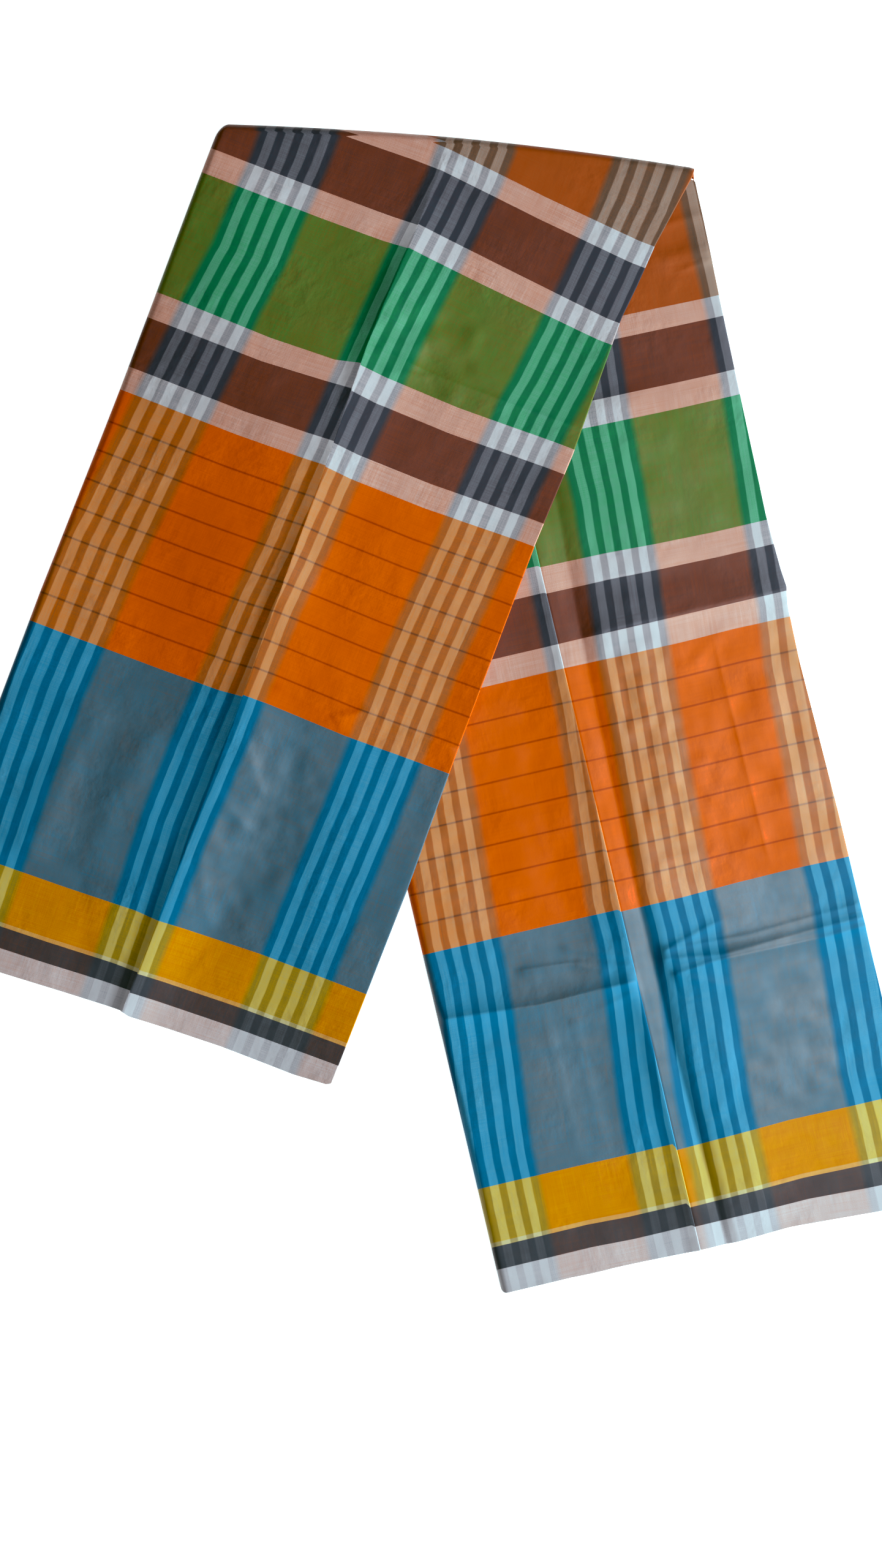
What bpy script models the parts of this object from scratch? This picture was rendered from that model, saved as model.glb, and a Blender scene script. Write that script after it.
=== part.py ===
"""Longyi: a checked cotton tube, pressed into a strip of eight plies and folded over once.

It lies flat on a table. X runs to the right, Y away and Z up, in metres. The back leg of
the strip lies on the table, and the front leg comes over the top fold and lies across it.
Each leg is measured in its own frame: "across" runs to the right from the leg's axis,
"along" runs from the top fold towards the hem, and "depth" runs down from the leg's face.
"""

from collections import namedtuple
from math import cos, exp, pi, radians, sin, sqrt, tan

import bmesh
import bpy
from mathutils import Vector

MM = 0.001

# The plies
WALL = 1.0 * MM  # the ply that shows
GAP = 0.3 * MM  # clear space between pieces
LEG_HEIGHT = 5.2 * MM  # eight pressed plies
LIP_RADIUS = WALL + GAP / 2  # outside of a ply turned back on itself
LIP_RETURN = 10.0 * MM  # how far the turned ply runs back under the face
COVER = WALL + GAP  # depth of the hidden plies below the face

# The smooth long edge, where all the plies turn together
EDGE_RUN = 6.0 * MM
EDGE_DROP = 3.4 * MM
UNDER_RUN = 2.0 * MM
UNDER_DROP = 1.5 * MM
UNDER_ANGLE = radians(235)
EDGE_CLEAR = 0.8 * MM  # extra room beside the hidden plies, inside that edge
SHOULDER_ANGLE = radians(150)  # where the hidden plies' top starts, going up inside it

# Steps of each rounding
UNDER_STEPS = 2
EDGE_STEPS = 4
SHOULDER_STEPS = 2
LIP_STEPS = 4
INNER_STEPS = 2

# The top fold
FOLD_MIDDLE = Vector((21.8 * MM, 328.9 * MM))  # where the two legs' axes cross
FOLD_TILT = radians(5.28)  # the fold falls to the right
FOLD_OFFSET = 0.5 * MM
FOLD_BULGE = 4.6 * MM
FOLD_HALF = 133.0 * MM
FOLD_RADIUS = LEG_HEIGHT + GAP / 2
FOLD_CORNER_LEFT = 5.0 * MM
FOLD_CORNER_RIGHT = 2.0 * MM
FACE_TURN = radians(165)  # how far round the fold the face goes
PLIES_TURN = radians(150)
TURN_STEPS = 6
FOLD_FAN = 120.0 * MM  # rows are parallel to the fold at its line, and square this far on
BACK_START = 1.4 * MM  # the back leg's own plies stop this short of the fold's axis

# The hems
HEM_FAN = 60.0 * MM
HEM_CORNER = 3.0 * MM
HEM_ROW = 7.0 * MM  # last row before the hem
PEEP = 1.7 * MM  # the back leg's lowest plies show past its face
PEEP_MIDDLE = -74.0 * MM
PEEP_WIDTH = 26.0 * MM
PEEP_SHARE = 0.76  # of the height: only what is lower shows

# The front leg comes down off the back leg in a long slope
DRAPE_START = 8.0 * MM
DRAPE_RUN = 120.0 * MM

# The tuck that runs down the back leg: an S of three plies
TUCK_EDGE = -8.9 * MM
TUCK_DEPTH = 28.0 * MM
TUCK_INNER = TUCK_EDGE - TUCK_DEPTH
TUCK_FLOOR = 2 * LIP_RADIUS + GAP  # depth of the ply that comes out from under the tuck
STEP = 0.4 * MM  # run of a step down in the hidden plies

ROW_LEAST = 11.0 * MM  # least room between two rows
CREASE_FADE = 0.12  # of a crease's length, over which each end rises
SHARP_ANGLE = radians(40)

Edge = namedtuple("Edge", "along left right")
Hem = namedtuple("Hem", "across along")
Crease = namedtuple("Crease", "from_across from_along to_across to_along width rise")
Rise = namedtuple("Rise", "across depth")
Leaf = namedtuple("Leaf", "share left right hem")
Leg = namedtuple("Leg", "lean left right length set_back row_step edges hem creases columns")
Row = namedtuple("Row", "station angle")
Spot = namedtuple("Spot", "across depth inward")

# Millimetres: how far each long edge strays outwards from its straight line
FRONT_EDGES = [
    Edge(along=-36, left=-0.5, right=8.0),
    Edge(along=15, left=-0.5, right=1.3),
    Edge(along=40, left=-0.5, right=0.0),
    Edge(along=61, left=-0.3, right=-1.8),
    Edge(along=145, left=-0.2, right=0.0),
    Edge(along=202, left=0.0, right=-1.8),
    Edge(along=330, left=1.6, right=-1.2),
    Edge(along=415, left=1.2, right=0.4),
    Edge(along=540, left=0.0, right=-0.6),
]
BACK_EDGES = [
    Edge(along=40, left=0.0, right=2.8),
    Edge(along=76, left=0.0, right=2.4),
    Edge(along=141, left=0.0, right=0.6),
    Edge(along=251, left=0.0, right=-1.6),
    Edge(along=284, left=0.0, right=-0.4),
    Edge(along=294, left=0.0, right=0.5),
    Edge(along=306, left=0.0, right=-1.3),
    Edge(along=339, left=0.0, right=-2.0),
    Edge(along=427, left=0.0, right=0.0),
    Edge(along=660, left=0.0, right=0.6),
]

# Millimetres: the hem's line, square to the leg but for these
FRONT_HEM = [
    Hem(across=-133, along=548.5),
    Hem(across=-77, along=545.8),
    Hem(across=-4, along=541.0),
    Hem(across=2, along=542.6),
    Hem(across=59, along=540.2),
    Hem(across=105, along=540.2),
    Hem(across=127, along=538.4),
]
BACK_HEM = [
    Hem(across=-127, along=658.6),
    Hem(across=-76, along=658.3),
    Hem(across=12, along=659.8),
    Hem(across=45, along=658.7),
    Hem(across=96, along=661.6),
    Hem(across=128, along=662.8),
]

# Millimetres: pressed creases, as soft ridges, or troughs where they rise below zero
FRONT_CREASES = [
    Crease(from_across=-5, from_along=60, to_across=-1, to_along=560, width=10, rise=4.0),
    Crease(from_across=18, from_along=131, to_across=112, to_along=131, width=9, rise=0.6),
    Crease(from_across=12, from_along=330, to_across=112, to_along=329, width=9, rise=0.7),
]
BACK_CREASES = [
    Crease(from_across=-9, from_along=320, to_across=-9, to_along=690, width=14, rise=1.8),
    Crease(from_across=26, from_along=296, to_across=112, to_along=294, width=14, rise=1.6),
    Crease(from_across=-112, from_along=496, to_across=-24, to_along=498, width=9, rise=0.8),
    Crease(from_across=40, from_along=494, to_across=112, to_along=493, width=9, rise=0.6),
]

# Millimetres: the face climbs out of the valley to the right of the tuck
VALLEY = [
    Rise(across=3.0, depth=2.3),
    Rise(across=8.5, depth=2.1),
    Rise(across=12.0, depth=1.4),
    Rise(across=16.0, depth=0.5),
    Rise(across=20.0, depth=0.0),
]

# The hidden plies' edges from top to bottom: a share of the height, then millimetres drawn
# in at the left edge, the right edge and the hem. Each groove parts two leaves.
LEAVES = [
    Leaf(share=0.00, left=0.0, right=0.5, hem=1.0),
    Leaf(share=0.21, left=-0.3, right=0.0, hem=1.0),
    Leaf(share=0.25, left=-0.3, right=0.8, hem=2.4),
    Leaf(share=0.29, left=-0.3, right=0.0, hem=0.5),
    Leaf(share=0.46, left=-0.2, right=0.2, hem=0.5),
    Leaf(share=0.50, left=-0.1, right=2.6, hem=2.6),
    Leaf(share=0.54, left=0.1, right=0.2, hem=1.3),
    Leaf(share=0.71, left=0.4, right=0.0, hem=1.3),
    Leaf(share=0.75, left=0.5, right=0.8, hem=2.4),
    Leaf(share=0.79, left=0.6, right=0.0, hem=0.3),
    Leaf(share=1.00, left=0.9, right=0.5, hem=0.3),
]

FRONT = Leg(
    lean=radians(20.9),
    left=-133.5 * MM,
    right=127.5 * MM,
    length=541.0 * MM,
    set_back=FOLD_RADIUS,
    row_step=36.0 * MM,
    edges=FRONT_EDGES,
    hem=FRONT_HEM,
    creases=FRONT_CREASES,
    columns=(-110, -80, -45, -11, -2.5, 6, 22, 50, 82, 104),
)
BACK = Leg(
    lean=radians(-13.2),
    left=-127.4 * MM,
    right=128.0 * MM,
    length=660.0 * MM,
    set_back=FOLD_RADIUS + BACK_START,
    row_step=60.0 * MM,
    edges=BACK_EDGES,
    hem=BACK_HEM,
    creases=BACK_CREASES,
    columns=(-104, -76, -54, 20, 45, 80, 104),
)

COLOURS = {
    "front_leg_face": (0.60, 0.20, 0.03),
    "back_leg_face": (0.16, 0.24, 0.34),
    "front_leg_plies": (0.34, 0.12, 0.06),
    "back_leg_plies": (0.10, 0.16, 0.07),
}
ROUGHNESS = 0.55


def smooth(share):
    """Ease from 0 to 1."""
    share = min(max(share, 0.0), 1.0)
    return share * share * (3 - 2 * share)


def read(rows, key, place, column):
    """Read a column of a table in millimetres, between its rows, at a place in metres."""
    place = place / MM
    for low, high in zip(rows, rows[1:]):
        start, end = getattr(low, key), getattr(high, key)
        if place <= end:
            break
    share = min(max((place - start) / (end - start), 0.0), 1.0)
    value = getattr(low, column) * (1 - share) + getattr(high, column) * share
    return value * MM


def plan(leg, across, along):
    """Where a leg's own across and along lie on the table."""
    return FOLD_MIDDLE + Vector((
        across * cos(leg.lean) - along * sin(leg.lean),
        -across * sin(leg.lean) - along * cos(leg.lean),
    ))


def corner(edge_distance, radius):
    """How far a rounded corner pulls back the end of a leg, this far from its long edge."""
    inside = min(max(radius - edge_distance, 0.0), radius)
    return radius - sqrt(radius**2 - inside**2)


def fold_along(leg, across):
    """The top fold's outline, set back to where this leg's plies start."""
    slant = leg.lean - FOLD_TILT
    bulge = FOLD_BULGE * (1 - (across / FOLD_HALF) ** 2)
    return FOLD_OFFSET - across * tan(slant) - bulge + leg.set_back / cos(slant)


def row_along(leg, station, across):
    """A row's place along the leg: by the fold it follows the fold, by the hem the hem."""
    from_fold = 1 - smooth(station / FOLD_FAN)
    from_hem = smooth((station - leg.length + HEM_FAN) / HEM_FAN)
    at_fold = strayed(leg, across, fold_along(leg, across))
    along = station + fold_along(leg, at_fold) * from_fold
    along += (read(leg.hem, "across", across, "along") - leg.length) * from_hem
    from_left, from_right = across - leg.left, leg.right - across
    pulled = corner(from_left, FOLD_CORNER_LEFT) + corner(from_right, FOLD_CORNER_RIGHT)
    along += pulled * (1 - smooth(station / ROW_LEAST))
    if station == leg.length:
        along -= corner(from_left, HEM_CORNER) + corner(from_right, HEM_CORNER)
    return along


def strayed(leg, across, along):
    """A long edge strays from straight, and the cloth beside it stretches to follow."""
    to_left = read(leg.edges, "along", along, "left") * max(across / leg.left, 0.0)
    to_right = read(leg.edges, "along", along, "right") * max(across / leg.right, 0.0)
    return across - to_left + to_right


def relief(leg, across, along):
    """Height that the pressed creases add to a leg's face."""
    height = 0.0
    for crease in leg.creases:
        start = Vector((crease.from_across, crease.from_along)) * MM
        run = Vector((crease.to_across, crease.to_along)) * MM - start
        offset = Vector((across, along)) - start
        share = offset.dot(run) / run.length_squared
        aside = offset.cross(run) / run.length
        ends = smooth(share / CREASE_FADE + 0.5) * smooth((1 - share) / CREASE_FADE + 0.5)
        height += crease.rise * MM * ends * exp(-((aside / (crease.width * MM)) ** 2))
    return height


def resting_height(leg, spot):
    """Height of what a leg's underside lies on."""
    if leg is BACK:
        return 0.0
    from_fold = spot - FOLD_MIDDLE
    across_back = from_fold.x * cos(BACK.lean) - from_fold.y * sin(BACK.lean)
    beyond = BACK.left - across_back - DRAPE_START
    return (LEG_HEIGHT + GAP) * (1 - smooth(beyond / DRAPE_RUN))


def cloth_point(leg, row, across, depth, draw_in=0.0):
    """A point of a leg at a depth below its face, flat or on its way round the top fold."""
    along = row_along(leg, row.station, across) - draw_in
    across = strayed(leg, across, along)
    spot = plan(leg, across, along)
    if row.angle == 0:
        face = resting_height(leg, spot) + LEG_HEIGHT + relief(leg, across, along)
        return spot.to_3d() + Vector((0, 0, face - depth))
    radius = FOLD_RADIUS - depth
    reach = radius * sin(row.angle)
    travel = reach if row.angle < pi / 2 else 2 * radius - reach
    outwards = Vector((sin(FOLD_TILT), cos(FOLD_TILT)))
    rightwards = Vector((cos(FOLD_TILT), -sin(FOLD_TILT)))
    spot = spot + outwards * reach + rightwards * travel * tan(leg.lean - FOLD_TILT)
    return spot.to_3d() + Vector((0, 0, FOLD_RADIUS + radius * cos(row.angle)))


def leg_rows(leg, turn):
    """Rows from the far end of the turn, over the fold and down to the hem."""
    stations = [0.0, leg.length - HEM_ROW, leg.length]
    for crease in leg.creases:
        if abs(crease.to_across - crease.from_across) > abs(crease.to_along - crease.from_along):
            stations += [(crease.from_along + side * crease.width) * MM for side in (-1, 0, 1)]
    count = round(leg.length / leg.row_step)
    for step in range(1, count):
        station = leg.length * step / count
        if min(abs(station - other) for other in stations) > ROW_LEAST:
            stations.append(station)
    turned = [Row(0.0, turn * (1 - step / TURN_STEPS)) for step in range(TURN_STEPS)]
    return (turned if turn else []) + [Row(station, 0.0) for station in sorted(stations)]


def arc(across, depth, wide, high, start, end, steps, side=1):
    """Part of an ellipse in a leg's section; side is -1 where the wall lies outside it."""
    spots = []
    for step in range(steps + 1):
        angle = start + (end - start) * step / steps
        inward = Vector((-cos(angle) / wide, sin(angle) / high)).normalized() * side
        spots.append(Spot(across + wide * cos(angle), depth - high * sin(angle), inward))
    return spots


def run(columns, depth=0.0, down=1):
    """A level stretch of a leg's section."""
    return [Spot(column, depth, Vector((0, down))) for column in columns]


def smooth_edge(leg):
    """The face's left edge, from under the leg up to its top."""
    under = arc(
        leg.left + UNDER_RUN, EDGE_DROP, UNDER_RUN, UNDER_DROP, UNDER_ANGLE, pi, UNDER_STEPS
    )
    over = arc(leg.left + EDGE_RUN, EDGE_DROP, EDGE_RUN, EDGE_DROP, pi, pi / 2, EDGE_STEPS)
    return under[:-1] + over


def lip_columns(leg):
    """Where the hidden plies step down for the turned lip, and on to its rounding."""
    step = leg.right - LIP_RETURN - GAP - STEP
    return [step - STEP, step, leg.right - LIP_RETURN / 2, leg.right - HEM_CORNER]


def turned_lip(leg):
    """The face's right edge, turned back under itself."""
    middle = leg.right - LIP_RADIUS
    lip = arc(middle, LIP_RADIUS, LIP_RADIUS, LIP_RADIUS, pi / 2, -pi / 2, LIP_STEPS)
    back = [leg.right - HEM_CORNER, leg.right - LIP_RETURN / 2, leg.right - LIP_RETURN]
    return lip + run(back, depth=2 * LIP_RADIUS, down=-1)


def tuck():
    """The back face's S: over the tuck's edge, back beneath it and out again to the valley."""
    middle = TUCK_EDGE - LIP_RADIUS
    between = (TUCK_INNER + TUCK_EDGE) / 2
    over = run([TUCK_INNER, between]) + arc(
        middle, LIP_RADIUS, LIP_RADIUS, LIP_RADIUS, pi / 2, -pi / 2, LIP_STEPS
    )
    back = run([between], depth=2 * LIP_RADIUS, down=-1)
    inner, middle = GAP / 2, TUCK_FLOOR - GAP / 2
    turn = arc(
        TUCK_INNER, middle, inner, inner, pi / 2, 3 * pi / 2, INNER_STEPS, side=-1
    )
    out = run([between, TUCK_EDGE], depth=TUCK_FLOOR)
    for rise in VALLEY[:-1]:
        out += run([rise.across * MM], depth=rise.depth * MM)
    return over + back + turn + out


def face_section(leg):
    """The ply that shows, from its left edge to its right."""
    columns = [column * MM for column in leg.columns]
    left = [column for column in columns if column < TUCK_EDGE]
    right = [column for column in columns if column > TUCK_EDGE] + lip_columns(leg)
    between = tuck() if leg is BACK else []
    return smooth_edge(leg) + run(left) + between + run(right) + turned_lip(leg)


def plies_section(leg):
    """The top of the hidden plies, as columns of across and depth, below the face."""
    wide, high = EDGE_RUN - COVER - EDGE_CLEAR, EDGE_DROP - COVER
    middle = leg.left + EDGE_RUN
    shoulder = arc(middle, EDGE_DROP, wide, high, SHOULDER_ANGLE, pi / 2, SHOULDER_STEPS)
    spots = [(spot.across, spot.depth) for spot in shoulder]
    columns = [(column * MM, COVER) for column in leg.columns]
    if leg is BACK:
        wall = TUCK_INNER - LIP_RADIUS - GAP
        low = TUCK_FLOOR + COVER
        columns += [(wall - 2 * STEP, COVER), (wall - STEP, low)]
        columns += [(TUCK_INNER, low), ((TUCK_INNER + TUCK_EDGE) / 2, low), (TUCK_EDGE, low)]
        columns += [(rise.across * MM, rise.depth * MM + COVER) for rise in VALLEY[:-1]]
    top, *under = lip_columns(leg) + [leg.right - GAP]
    spots += sorted(columns) + [(top, COVER)]
    return spots + [(column, 2 * LIP_RADIUS + GAP) for column in under]


def face_block(leg, turn):
    """Outer and inner points of the ply that shows."""
    section = face_section(leg)
    block = []
    for row in leg_rows(leg, turn):
        block.append([])
        for spot in section:
            inner = Vector((spot.across, spot.depth)) + spot.inward * WALL
            block[-1].append([
                cloth_point(leg, row, spot.across, spot.depth),
                cloth_point(leg, row, inner.x, inner.y),
            ])
    return block


def peep(leg, leaf, across):
    """How far the back leg's lowest plies come out past its hem."""
    if leg is FRONT or leaf.share < PEEP_SHARE:
        return 0.0
    return PEEP * exp(-(((across - PEEP_MIDDLE) / PEEP_WIDTH) ** 2))


def plies_block(leg, turn):
    """Points of the hidden plies, drawn in between their leaves at the edges and the hem."""
    section = plies_section(leg)
    block = []
    for row in leg_rows(leg, turn):
        block.append([])
        for index, (across, top) in enumerate(section):
            block[-1].append([])
            for leaf in LEAVES:
                spot = across
                if index == 0:
                    spot += leaf.left * MM
                if index == len(section) - 1:
                    spot -= leaf.right * MM
                draw_in = 0.0
                if row.station == leg.length:
                    draw_in = leaf.hem * MM - peep(leg, leaf, across)
                along = row_along(leg, row.station, spot) - draw_in
                height = LEG_HEIGHT
                if row.angle == 0:
                    height += relief(leg, strayed(leg, spot, along), along)
                depth = top + (height - top) * leaf.share
                block[-1][-1].append(cloth_point(leg, row, spot, depth, draw_in))
    return block


def close_block(block):
    """Mesh the six sides of a block of points, block[row][column][level]."""
    rows, columns, levels = len(block), len(block[0]), len(block[0][0])
    mesh = bmesh.new()
    corners = {}

    def corner_at(row, column, level):
        place = (row, column, level)
        if place not in corners:
            corners[place] = mesh.verts.new(block[row][column][level])
        return corners[place]

    def skin(across, down, place):
        for i in range(across - 1):
            for j in range(down - 1):
                a, b = corner_at(*place(i, j)), corner_at(*place(i + 1, j))
                c, d = corner_at(*place(i + 1, j + 1)), corner_at(*place(i, j + 1))
                mesh.faces.new((a, b, c))
                mesh.faces.new((a, c, d))

    for level in (0, levels - 1):
        skin(rows, columns, lambda i, j, level=level: (i, j, level))
    for column in (0, columns - 1):
        skin(rows, levels, lambda i, j, column=column: (i, column, j))
    for row in (0, rows - 1):
        skin(columns, levels, lambda i, j, row=row: (row, i, j))
    bmesh.ops.recalc_face_normals(mesh, faces=mesh.faces)
    return mesh


def add_piece(name, block, collection):
    """Make a block of points an object with its own material."""
    mesh = close_block(block)
    data = bpy.data.meshes.new(name)
    mesh.to_mesh(data)
    mesh.free()
    data.shade_smooth()
    data.set_sharp_from_angle(angle=SHARP_ANGLE)
    material = bpy.data.materials.new(name)
    material.use_nodes = True
    shader = material.node_tree.nodes["Principled BSDF"]
    shader.inputs["Base Color"].default_value = (*COLOURS[name], 1)
    shader.inputs["Roughness"].default_value = ROUGHNESS
    shader.inputs["Metallic"].default_value = 0.0
    data.materials.append(material)
    collection.objects.link(bpy.data.objects.new(name, data))


def main():
    for thing in list(bpy.data.objects):
        bpy.data.objects.remove(thing, do_unlink=True)
    collection = bpy.data.collections.new("longyi")
    bpy.context.scene.collection.children.link(collection)
    add_piece("back_leg_plies", plies_block(BACK, 0.0), collection)
    add_piece("back_leg_face", face_block(BACK, 0.0), collection)
    add_piece("front_leg_plies", plies_block(FRONT, PLIES_TURN), collection)
    add_piece("front_leg_face", face_block(FRONT, FACE_TURN), collection)


main()
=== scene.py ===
import math

import bpy
import numpy as np
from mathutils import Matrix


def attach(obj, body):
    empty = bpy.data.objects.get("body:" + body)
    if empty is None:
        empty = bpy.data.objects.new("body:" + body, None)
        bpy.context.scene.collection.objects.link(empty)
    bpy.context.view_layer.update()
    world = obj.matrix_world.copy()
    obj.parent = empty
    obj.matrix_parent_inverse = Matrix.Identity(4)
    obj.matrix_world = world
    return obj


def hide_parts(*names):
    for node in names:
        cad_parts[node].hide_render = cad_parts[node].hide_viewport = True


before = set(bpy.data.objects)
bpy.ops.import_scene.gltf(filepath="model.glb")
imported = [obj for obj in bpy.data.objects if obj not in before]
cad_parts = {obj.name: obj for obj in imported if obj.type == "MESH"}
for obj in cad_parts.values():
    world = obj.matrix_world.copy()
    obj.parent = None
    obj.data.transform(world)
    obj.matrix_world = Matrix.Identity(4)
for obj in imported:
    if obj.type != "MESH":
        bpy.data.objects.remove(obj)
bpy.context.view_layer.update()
print("frame loaded:", sorted(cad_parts))

# Lengths are in millimetres and angles in degrees, unless a note says metres. Each leg of the
# folded strip has its own frame: across runs to the right of its axis, along runs from the top
# fold to the hem.
millimetre = 0.001  # in metres
fold = {
    "middle": (21.8, 328.9),  # where the two legs' axes cross
    "tilt": 5.28,
    "offset": 0.5,
    "bulge": 4.6,
    "half": 133.0,
    "radius": 5.35,
    "cornerLeft": 5.0,
    "cornerRight": 2.0,
    "fan": 120.0,  # rows follow the fold at its line, and are square this far on
    "turnSteps": 14,
}
view = {"at": (0.0125, -0.0436), "height": 1.106, "lens": 43.31}  # of the camera, in metres
plies = {
    "height": 5.2,  # eight pressed plies
    "wall": 0.5,
    "gap": 0.3,
    "lipRadius": 0.54,
    "lipReturn": 10.0,
    "edgeRun": 4.8,
    "edgeDrop": 3.4,
    "underRun": 2.0,
    "underDrop": 1.5,
    "underAngle": 235.0,
    "edgeClear": 0.8,
    "cover": 1.0,  # depth of the hidden plies below the face
    "hemFan": 60.0,
    "hemCorner": 3.0,
    "hemCornerRun": 4.0,
    "rowLeast": 11.0,
    "drapeStart": 8.0,
    "drapeRun": 120.0,
}
tuck = {
    "edge": -8.9,
    "depth": 28.0,
    "lip": 0.52,
    "floor": 1.3,  # depth of the ply that comes out from under the tuck
    "valley": {
        "across": (-8.9, -8.75, -3.0, 2.0, 8.0, 14.0, 20.0),
        "depth": (1.3, 0.95, 0.6, 0.6, 0.35, 0.1, 0.0),
    },
    "lipClear": 0.5,  # the face's columns keep this far from the edge's round
    "innerLip": 0.15,  # radius of the fold under the tuck
    "underEdge": 1.5,
    "firstUnder": 0.2,  # from the edge to the first column past it
    "valleySpacing": (1.2, 0.9),
    "valleyMiddle": 5.4,
}
surface = {
    "undulations": ((0.42, 46.0), (0.15, 19.0), (0.05, 8.5)),  # height and cell of each noise
    "noiseGrid": (64, 96),
    "noiseShift": (20, 8),
    "foldRun": 10.0,  # the relief grows over this run from the top fold
    "leftRun": 5.0,  # and over this one from the left edge
    "creaseFade": 0.14,  # share of a stretch over which its crease grows and fades
    "creaseEnd": 0.3,
    "creaseJoint": 4.0,
    "sharpFlank": 8.5,  # how far the sharper form of a ridge's left flank spreads
    "hollowFlank": (2.2, 1.6),  # reach and curve of a right flank that falls away
    "roundFlank": 1.6,  # reach of a right flank that bellies out
    "crumpleFade": (10.0, 14.0),
    "sharpCrest": 1.35,  # a crease under this needs closer rows and columns
}
warpRepeat = {
    "length": 100.0,
    "group": 36.0,  # of light stripes, at its start
    "before": 30.0,  # a repeat is read from this far before its first light stripe
    "crestHalf": 0.15,  # half width of the main ridge's crest
    "crestStretch": (1.03, 1.01),  # of the cloth on each side of it
    "clear": 20,  # columns left out at each edge, where the cloth is rounded
    "beyond": 60.0,  # the repeat carries on this far past the outer stripes
}


def creaseRows(*rows):
    # each crease's path, its spread on its two sides, its height and how round it is
    return [dict(zip(("path", "over", "under", "rise", "crest"), row)) for row in rows]


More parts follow.
